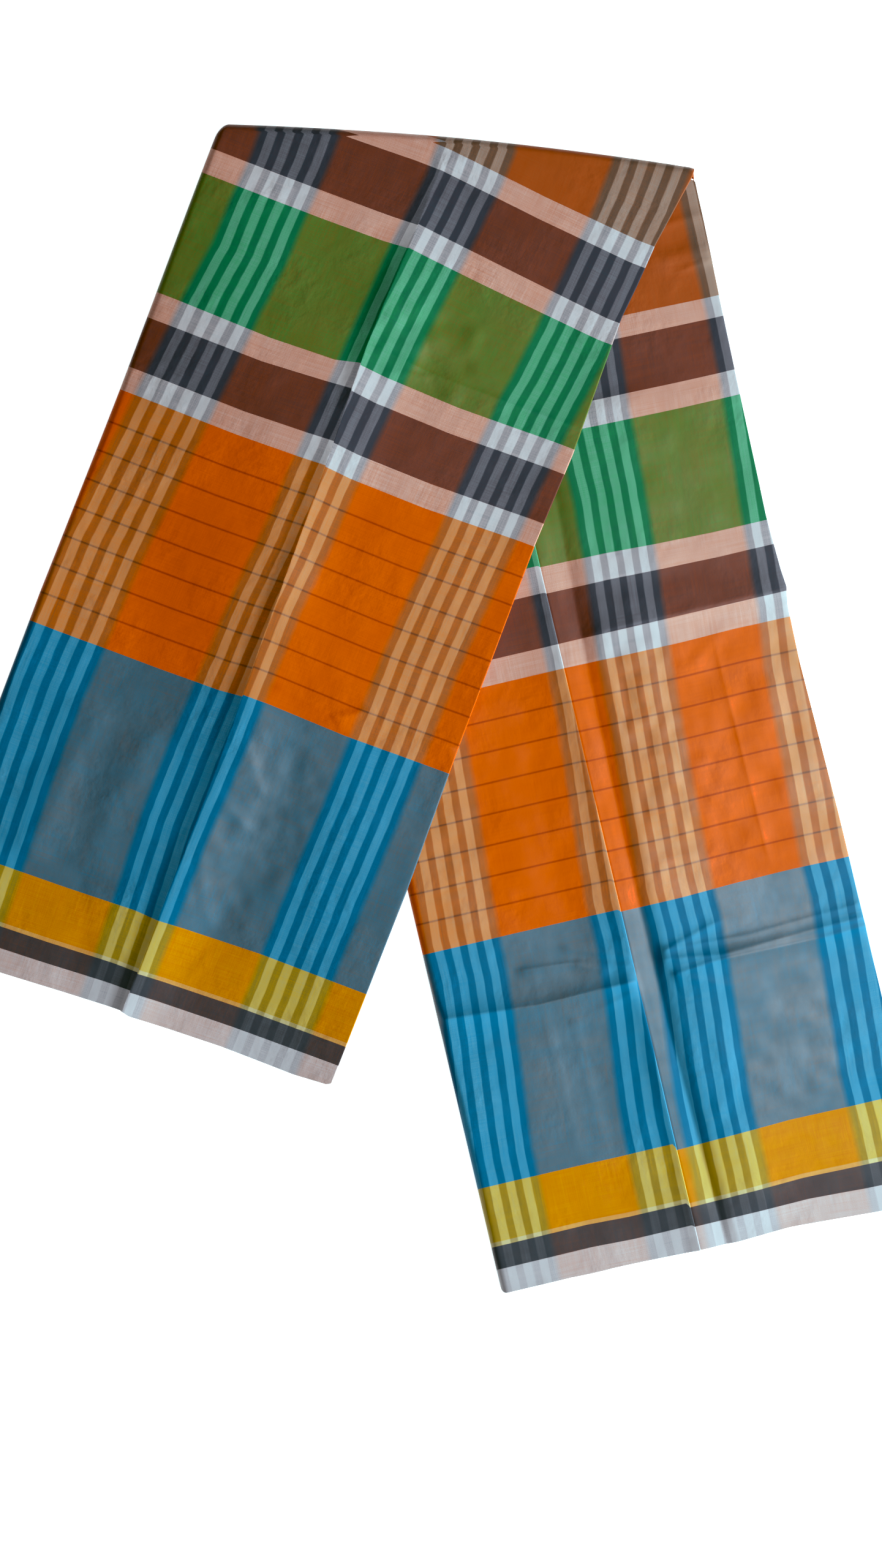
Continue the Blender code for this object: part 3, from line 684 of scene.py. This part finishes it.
def makeFace(leg):
    wide, fine = leg["spacing"]
    near = creaseStations(leg, True)
    lip = plies["lipRadius"]
    start, end = leg["left"] + plies["edgeRun"], leg["right"] - lip
    if leg is frontLeg:
        ridge, clear, half = leg["ridgeColumn"], leg["ridgeClear"], warpRepeat["crestHalf"]
        near = near + [ridge]
        columns = spaced(start, ridge - clear, wide, fine, near) + [ridge - half, ridge + half]
        columns += spaced(ridge + clear, end, wide, fine, near)
    else:
        valleyEnd = tuck["valley"]["across"][-1]
        columns = spaced(start, tuck["edge"] - tuck["lip"], wide, fine, near)
        first = tuck["edge"] + tuck["firstUnder"]
        columns += spaced(first, valleyEnd, *tuck["valleySpacing"], (tuck["valleyMiddle"],))
        columns += spaced(valleyEnd, end, wide, fine, near)[1:]
    section = faceSection(leg, columns[1:-1])
    rows = legRows(leg, leg["faceTurn"], wide, fine, creaseStations(leg, False))
    levels, maps = [], []
    for depth in (0.0, plies["wall"]):
        across = section[:, 0] + section[:, 2] * depth
        deep = section[:, 1] + section[:, 3] * depth
        points, spread, along = clothPoints(leg, rows, across[None, :], deep[None, :])
        if depth == 0.0:
            arcs = np.where(rows[:, 1] > 0, np.radians(rows[:, 1]) * fold["radius"], 0)[:, None]
            flat = rows[:, 1][:, None] == 0
            seenAcross, seenAlong = asSeen(leg, points)
            seenAcross, seenAlong = np.where(flat, seenAcross, spread), np.where(flat, seenAlong, along)
            crest = crestSeen(leg, spread, seenAcross, along)
            warp = warpPlace(leg, section, seenAcross, seenAlong, crest)
            weft = weftPlace(leg, seenAcross, seenAlong, crest) + arcs
        levels.append(points)
        maps.append(np.stack([warp, weft], axis=-1))
    thing = closedBlock(leg["name"] + "_check_cloth", levels, maps)
    finishNormals(thing)
    print(thing.name, "rows", len(rows), "columns", len(section), "cloth", round(reachOf(section)[-1], 1))
    return thing


leaves = {
    # share of the height, then how far each leaf is drawn in at its left, right and hem
    "share": (0.0, 0.06, 0.12, 0.16, 0.20, 0.26, 0.31, 0.35, 0.40, 0.46, 0.50, 0.54, 0.59, 0.65,
              0.69, 0.73, 0.79, 0.84, 0.88, 0.93, 1.0),
    "left": (0.5, -0.1, -0.1, 1.3, -0.2, -0.4, -0.2, 1.2, -0.2, -0.4, 0.0, 1.2, 0.1, 0.0,
             0.2, 1.6, 0.5, 0.3, 0.7, 1.8, 1.4),
    "right": (0.9, 0.2, 0.4, 2.6, 0.5, 0.1, 0.4, 1.9, 0.6, 0.1, 0.7, 3.4, 0.6, 0.1,
              0.6, 2.3, 0.5, 0.1, 0.6, 1.4, 0.9),
    "hem": (1.6, 0.9, 1.2, 3.0, 0.8, 0.4, 0.9, 3.2, 1.6, 1.2, 1.7, 3.6, 1.4, 1.0,
            1.5, 3.1, 0.5, 0.1, 0.6, 2.4, 0.9),
    "leaf": (0, 0, 0, 0, 1, 1, 1, 1, 2, 2, 2, 2, 3, 3, 3, 3, 4, 4, 4, 4, 4),
}
peep = {"far": 1.7, "middle": -74.0, "wide": 26.0, "from": 0.74}  # low leaves that show past the hem
block = {
    "columns": 9.0,  # spacing
    "rows": (5.0, 2.5),
    "fromLeft": 8.0,
    "fromRight": 12.0,
    "lastRow": 0.9,
    "leftAngle": 150.0,  # its left edge's round starts here
    "step": 1.5,  # from the tuck's inner fold to the step down under it
    "stepRun": (0.8, 0.4),
    "lipStep": (0.7, 0.4, 0.1),  # beside the right edge's lip: clear of it, run and drop
    "lastColumn": 1.2,
    "edgeWander": (0.45, 33.0),  # height and cell of the noise in each leaf's edge
    "hemWander": (0.35, 24.0),
    "seeds": (40, 60),  # of these two noises
    "leafWarp": (12.0, 37.0),  # the warp's place in the first leaf, and from leaf to leaf
}


def pliesSection(leg, columns):
    cover, lip = plies["cover"], plies["lipRadius"]
    wide, high = plies["edgeRun"] - cover - plies["edgeClear"], plies["edgeDrop"] - cover
    edge = arc(leg["left"] + plies["edgeRun"], plies["edgeDrop"], wide, high, block["leftAngle"], 90, 3)
    spots = [spot[:2] for spot in edge]
    tops = [(column, cover) for column in columns]
    if leg is backLeg:
        inner, valley = tuck["edge"] - tuck["depth"], tuck["valley"]
        low, wall = tuck["floor"] + cover, inner - block["step"]
        first, second = block["stepRun"]
        between = (inner + tuck["edge"]) / 2
        tops = [(column, cover) for column in columns if column < wall - 1 or column > valley["across"][-1]]
        tops += [(wall - first, cover), (wall - second, low), (inner, low), (between, low)]
        tops += [(across, depth + cover) for across, depth in zip(valley["across"], valley["depth"])]
    clear, run, drop = block["lipStep"]
    step = leg["right"] - plies["lipReturn"] - clear
    tops = sorted(top for top in tops if top[0] < step - 1) + [(step - run, cover)]
    fromRight = (plies["lipReturn"] / 2, plies["hemCorner"], block["lastColumn"], plies["gap"])
    ends = [step] + [leg["right"] - distance for distance in fromRight]
    return np.array(spots + tops + [(column, 2 * lip + drop) for column in ends])


def makePlies(leg):
    apart = block["columns"]
    columns = spaced(leg["left"] + block["fromLeft"], leg["right"] - block["fromRight"], apart, apart, ())
    section = pliesSection(leg, columns)
    rows = legRows(leg, leg["pliesTurn"], *block["rows"], creaseStations(leg, False))
    rows = np.vstack([rows[:-1], [(leg["length"] - block["lastRow"], 0.0)], rows[-1:]])
    across, top = section[:, 0][None, :], section[:, 1][None, :]
    atHem = (rows[:, 0] == leg["length"])[:, None]
    turned = (rows[:, 1] > 0)[:, None]
    levels, maps = [], []
    for i, share in enumerate(leaves["share"]):
        leaf = leaves["leaf"][i]
        far, cell = block["edgeWander"]
        station = rows[:, 0]
        wander = [
            far * lattice(block["seeds"][0] + leaf + 9 * side, station * 0 + 10 * leaf, station, cell)
            for side in (0, 1)
        ]
        spots = np.repeat(across, len(rows), axis=0)
        spots[:, 0] += leaves["left"][i] + np.abs(wander[0])
        spots[:, -1] -= leaves["right"][i] + np.abs(wander[1])
        far, cell = block["hemWander"]
        drawn = leaves["hem"][i]
        drawn = drawn + far * lattice(block["seeds"][1] + leaf, across, across * 0 + 9 * leaf, cell)
        if leg is backLeg and share > peep["from"]:
            drawn = drawn - peep["far"] * np.exp(-(((across - peep["middle"]) / peep["wide"]) ** 2))
        deep = top + (plies["height"] - top) * share
        drawIn = np.where(atHem, drawn, 0.0)
        flatRelief = clothRelief(leg, rows, spots, drawIn)
        lowered = deep + flatRelief * share * (1 - turned)
        points, spread, along = clothPoints(leg, rows, spots, lowered, drawIn)
        levels.append(points)
        arcs = np.where(turned, np.radians(rows[:, 1])[:, None] * fold["radius"], 0)
        warp = spread + block["leafWarp"][1] * leaf + block["leafWarp"][0] + np.zeros_like(along)
        maps.append(np.stack([warp, weftPlace(leg, spread, along) + arcs], axis=-1))
    thing = closedBlock(leg["name"] + "_inner_plies", levels, maps)
    finishNormals(thing)
    print(thing.name, "rows", len(rows), "columns", len(section))
    return thing


def clothRelief(leg, rows, spots, drawIn):
    # the face's own relief above the plies, which flattens towards the table
    along = rowAlong(leg, rows[:, 0][:, None], spots) - drawIn
    spread = strayed(leg, besideRidge(leg, spots, along), along)
    return relief(leg, spread, along) * ease(rows[:, 0][:, None] / surface["foldRun"])


class Wire:
    # a shader socket that takes part in sums like a number
    def __init__(self, tree, socket):
        self.tree = tree
        self.socket = socket

    def make(self, kind, settings, sockets, output=0):
        node = self.tree.nodes.new(kind)
        for name, value in settings.items():
            if name == "stops":
                ramp = node.color_ramp
                while len(ramp.elements) < len(value):
                    ramp.elements.new(1.0)
                for element, (position, colour) in zip(ramp.elements, value):
                    element.position, element.color = position, colour
            elif name == "interpolation":
                node.color_ramp.interpolation = value
            else:
                setattr(node, name, value)
        for name, value in sockets.items():
            if isinstance(value, Wire):
                self.tree.links.new(value.socket, node.inputs[name])
            else:
                node.inputs[name].default_value = value
        return Wire(self.tree, node.outputs[output])

    def maths(self, operation, *values):
        return self.make("ShaderNodeMath", {"operation": operation}, dict(enumerate(values)))

    def __add__(self, other):
        return self.maths("ADD", self, other)

    def __sub__(self, other):
        return self.maths("SUBTRACT", self, other)

    def __rsub__(self, other):
        return self.maths("SUBTRACT", other, self)

    def __mul__(self, other):
        return self.maths("MULTIPLY", self, other)

    def __mod__(self, other):
        return self.maths("FLOORED_MODULO", self, other)

    __radd__ = __add__
    __rmul__ = __mul__

    def absolute(self):
        return self.maths("ABSOLUTE", self)

    def sine(self):
        return self.maths("SINE", self)

    def clamped(self, low=0.0, high=1.0):
        return self.maths("MINIMUM", self.maths("MAXIMUM", self, low), high)

    def above(self, edge, soft):
        # 0 below the edge and 1 above it, over a soft width
        return ((self - edge) * (1 / soft) + 0.5).clamped()

    def mixed(self, first, second):
        return self.make(
            "ShaderNodeMix", {"data_type": "RGBA"}, {0: self, 6: first, 7: second}, output=2
        )


def dyed(code):
    # a dye as it looks to the eye, kept as it is until the yarns are mixed
    return tuple(int(code[i:i + 2], 16) / 255 for i in (0, 2, 4)) + (1.0,)


paleBand = {"dye": "D3C2C2", "share": 0.57, "gloss": (0.50, 0.25)}
darkBand = {"dye": "3C333B", "share": 0.64, "gloss": (0.35, 0.20)}
checkCloth = {
    "name": "checked polished cotton",
    "stripe": 10.2,  # from one light stripe to the next
    "lightShare": 0.54,
    "stripeSoft": 0.42,
    "groupSoft": 0.6,
    "outerDark": 4.8,
    "softness": 3.6,  # of a group's outer edges, where plain and dark threads mix
    "half": 607.0,  # from the selvedge to the middle of the cloth
    "span": 640.0,  # of the ramp that holds the wefts
    "pitch": 0.46,  # of the threads
    # each noise: its scale across and along, and its detail
    "grains": {
        "warpSlub": (2.4, 0.03, 2.0),
        "weftSlub": (0.03, 2.4, 2.0),
        "wobble": (0.05, 0.06, 2.0),
        "mottle": (0.045, 0.035, 3.0),
        "patch": (0.022, 0.026, 2.0),
        "crumple": (0.11, 0.09, 3.0),
    },
    "stray": {"wobble": 1.2, "slub": 0.3},  # of the stripes' and bands' edges
    "blend": {"mottle": 0.1, "weave": 0.16, "slub": 0.35},
    "worn": {"edge": 0.5, "soft": 0.4, "crumple": 0.5, "patch": 0.7, "least": 0.55,
             "plain": 0.85, "light": 0.3},
    "rough": {"middle": 0.6, "patch": 0.25, "slub": 0.1, "limits": (0.2, 0.8)},
    "bump": {"weave": 0.022, "slub": 0.02, "crumple": 0.35, "rumpled": 1.2, "from": (0.56, 0.3),
             "high": 0.0005},
    "specular": 0.1,
    "coatRoughness": 0.42,
    "coatIor": 1.7,
    "warps": {"plain": dyed("99401C"), "light": dyed("83A0AB"), "dark": dyed("213F4D")},
    # wefts from the selvedge inwards: where each starts, its dye, its share of the colour, and its
    # polish on the plain cloth and in the stripes
    "wefts": (
        {"from": 0.0, "dye": "B1B0B5", "share": 0.83, "gloss": (0.50, 0.50)},
        {"from": 11.0, "dye": "8A8886", "share": 0.7, "gloss": (0.40, 0.40)},
        {"from": 12.3, "dye": "33383F", "share": 0.9, "gloss": (0.60, 0.50)},
        {"from": 24.6, "dye": "D6B868", "share": 0.6, "gloss": (0.40, 0.40)},
        {"from": 25.6, "dye": "D29A05", "share": 0.56, "gloss": (0.25, 0.40)},
        {"from": 60.0, "dye": "006E9D", "share": 0.62, "gloss": (0.85, 0.12)},
        {"from": 202.5, "dye": "E25F04", "share": 0.60, "gloss": (0.22, 0.60)},
        {"from": 345.5, **paleBand},
        {"from": 361.0, **darkBand},
        {"from": 394.0, **paleBand},
        {"from": 409.0, "dye": "148640", "share": 0.54, "gloss": (0.50, 0.15)},
        {"from": 483.0, **paleBand},
        {"from": 498.0, **darkBand},
        {"from": 530.5, **paleBand},
        {"from": 545.0, "dye": "8C5232", "share": 0.55, "gloss": (0.20, 0.30)},
    ),
    "pins": {"from": 202.5, "apart": 17.875, "wide": 1.0, "soft": 0.8, "first": 210.0,
             "last": 338.0, "endSoft": 1.0, "dye": "521C04", "share": 0.62},
}


def checkMaterial(cloth):
    material = bpy.data.materials.new(cloth["name"])
    material.use_nodes = True
    tree = material.node_tree
    shader = tree.nodes["Principled BSDF"]
    start = Wire(tree, None)
    place = start.make("ShaderNodeUVMap", {"uv_map": "cloth"}, {})
    warp = place.make("ShaderNodeSeparateXYZ", {}, {0: place}, output=0) * 1000.0
    fromHem = place.make("ShaderNodeSeparateXYZ", {}, {0: place}, output=1) * 1000.0
    weft = cloth["half"] - (cloth["half"] - fromHem).absolute()

    def grain(acrossScale, alongScale, detail):
        spot = start.make("ShaderNodeCombineXYZ", {}, {0: warp * acrossScale, 1: weft * alongScale})
        return start.make("ShaderNodeTexNoise", {}, {"Vector": spot, "Scale": 1.0, "Detail": detail})

    grains = {name: grain(*rule) for name, rule in cloth["grains"].items()}
    warpSlub, weftSlub = grains["warpSlub"], grains["weftSlub"]
    patch, crumple = grains["patch"], grains["crumple"]
    stray = cloth["stray"]
    warpLine = warp + (grains["wobble"] - 0.5) * stray["wobble"] + (warpSlub - 0.5) * stray["slub"]
    weftLine = weft + (weftSlub - 0.5) * stray["slub"]

    def byWeft(values):
        # a colour and an alpha for each band of weft
        stops = [(band["from"] / cloth["span"], value) for band, value in zip(cloth["wefts"], values)]
        settings = {"interpolation": "CONSTANT", "stops": stops}
        ramp = start.make("ShaderNodeValToRGB", settings, {0: weftLine * (1 / cloth["span"])})
        return ramp, Wire(tree, ramp.socket.node.outputs["Alpha"])

    groupEnd, outer, soft = warpRepeat["group"], cloth["outerDark"], cloth["softness"]
    before = warpRepeat["before"]
    inRepeat = (warpLine + before) % warpRepeat["length"] - before
    group = inRepeat.above(-outer, soft) * (1 - inRepeat.above(groupEnd + outer, soft))
    turn = inRepeat * (2 * math.pi / cloth["stripe"]) - math.pi * cloth["lightShare"]
    light = turn.maths("COSINE", turn).above(math.cos(math.pi * cloth["lightShare"]), cloth["stripeSoft"])
    edge = cloth["groupSoft"]
    light = light * inRepeat.above(0.0, edge) * (1 - inRepeat.above(groupEnd, edge))

    warps, wefts, pins = cloth["warps"], cloth["wefts"], cloth["pins"]
    yarn = light.mixed(group.mixed(warps["plain"], warps["dark"]), warps["light"])
    filling, share = byWeft([dyed(band["dye"])[:3] + (band["share"],) for band in wefts])
    fromPin = (weftLine - pins["from"] + pins["apart"] / 2) % pins["apart"] - pins["apart"] / 2
    pin = 1 - fromPin.absolute().above(pins["wide"] / 2, pins["soft"])
    ends = pins["endSoft"]
    pin = pin * weft.above(pins["first"], ends) * (1 - weft.above(pins["last"], ends))
    filling = (pin * pins["share"]).mixed(filling, dyed(pins["dye"]))

    thread, blend = math.pi / cloth["pitch"], cloth["blend"]
    weave = (warp * thread).sine() * (weft * thread).sine()
    factor = share + (grains["mottle"] - 0.5) * blend["mottle"] + weave * blend["weave"]
    factor = (factor + (weftSlub - warpSlub) * blend["slub"]).clamped()
    colour = start.make("ShaderNodeGamma", {}, {"Color": factor.mixed(yarn, filling), "Gamma": 2.2})
    tree.links.new(colour.socket, shader.inputs["Base Color"])

    worn, rough, bump = cloth["worn"], cloth["rough"], cloth["bump"]
    onPlain, inStripes = byWeft([(band["gloss"][0],) * 3 + (band["gloss"][1],) for band in wefts])
    polish = onPlain * (1 - group) + inStripes * group
    wear = crumple.above(worn["edge"], worn["soft"]) * worn["crumple"]
    wear = wear + patch.above(worn["edge"], worn["soft"]) * worn["patch"] + worn["least"]
    gloss = (polish * wear * (worn["plain"] + light * worn["light"])).clamped()
    tree.links.new(gloss.socket, shader.inputs["Coat Weight"])
    roughness = rough["middle"] + (patch - 0.5) * rough["patch"] + (warpSlub - 0.5) * rough["slub"]
    tree.links.new(roughness.clamped(*rough["limits"]).socket, shader.inputs["Roughness"])
    rumples = crumple * (bump["crumple"] + patch.above(*bump["from"]) * bump["rumpled"])
    height = weave.absolute() * bump["weave"] + (warpSlub + weftSlub) * bump["slub"] + rumples
    sockets = {"Strength": 1.0, "Distance": bump["high"], "Height": height}
    tree.links.new(start.make("ShaderNodeBump", {}, sockets).socket, shader.inputs["Normal"])
    shader.inputs["Specular IOR Level"].default_value = cloth["specular"]
    shader.inputs["Coat Roughness"].default_value = cloth["coatRoughness"]
    shader.inputs["Coat IOR"].default_value = cloth["coatIor"]
    return material


cottonCheck = checkMaterial(checkCloth)
print("materials made")

for leg, faceSize, under in (
    (backLeg, (0.333, 0.655), []),
    (frontLeg, (0.283, 0.556), ["back_leg_check_cloth"]),
):
    inner = makePlies(leg)
    face = makeFace(leg)
    for piece, node, slot in (
        (inner, leg["name"] + "_plies", "inner_plies"),
        (face, leg["name"] + "_face", "face_cloth"),
    ):
        piece.data.materials.append(cottonCheck)
        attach(piece, "root")
        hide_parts(node)
    under + [inner.name]
print("cloth made")

studio = {
    "floor": (0.93, 0.93, 0.93, 1.0),
    "floorSize": 9.0,
    "floorRoughness": 0.9,
    "glow": 1.03,
    "worldStrength": 0.10,
    "black": (0.008, 0.008, 0.016),
    "reds": ((0.4, 0.40), (0.62, 0.56), (0.82, 0.69), (0.96, 0.82)),  # bright reds are held back
    "lights": (
        {"name": "low window", "at": (2.6, -1.15, 0.82), "size": (1.6, 0.7), "power": 246.0,
         "colour": (0.96, 1, 1.04), "shines": False},  # its glare would hide the cloth from low down
        {"name": "high window", "at": (0.66, -0.08, 1.15), "size": (0.4, 0.8), "power": 7.7,
         "colour": (0.92, 0.98, 1), "shines": True},
    ),
}
bpy.ops.mesh.primitive_plane_add(size=studio["floorSize"], location=(0, 0, 0))
floor = bpy.context.active_object
floor.name = "floor"
paint = bpy.data.materials.new("matt floor")
paint.use_nodes = True
matt = paint.node_tree.nodes["Principled BSDF"].inputs
matt["Base Color"].default_value = studio["floor"]
matt["Roughness"].default_value = studio["floorRoughness"]
matt["Emission Color"].default_value = studio["floor"]
matt["Emission Strength"].default_value = studio["glow"]
floor.data.materials.append(paint)

world = bpy.data.worlds.new("studio air")
bpy.context.scene.world = world
world.use_nodes = True
world.node_tree.nodes["Background"].inputs["Color"].default_value = (1, 1, 1, 1)
world.node_tree.nodes["Background"].inputs["Strength"].default_value = studio["worldStrength"]
for lamp in studio["lights"]:
    data = bpy.data.lights.new(lamp["name"], "AREA")
    data.shape, data.energy = "RECTANGLE", lamp["power"]
    data.size, data.size_y = lamp["size"]
    data.color = lamp["colour"]
    light = bpy.data.objects.new(lamp["name"], data)
    light.location = lamp["at"]
    light.visible_glossy = lamp["shines"]
    light.rotation_mode = "QUATERNION"
    light.rotation_quaternion = light.location.to_track_quat("Z", "Y")  # it faces the cloth
    bpy.context.scene.collection.objects.link(light)

camera = bpy.data.objects.new("camera", bpy.data.cameras.new("camera"))
camera.location = (*view["at"], view["height"])
camera.data.lens = view["lens"]
camera.data.sensor_fit = "AUTO"
bpy.context.scene.collection.objects.link(camera)
bpy.context.scene.camera = camera
display = bpy.context.scene.view_settings
display.view_transform = "Standard"
display.use_curve_mapping = True
display.curve_mapping.black_level = studio["black"]
for level, shown in studio["reds"]:
    display.curve_mapping.curves[0].points.new(level, shown)
display.curve_mapping.update()
print("studio made")
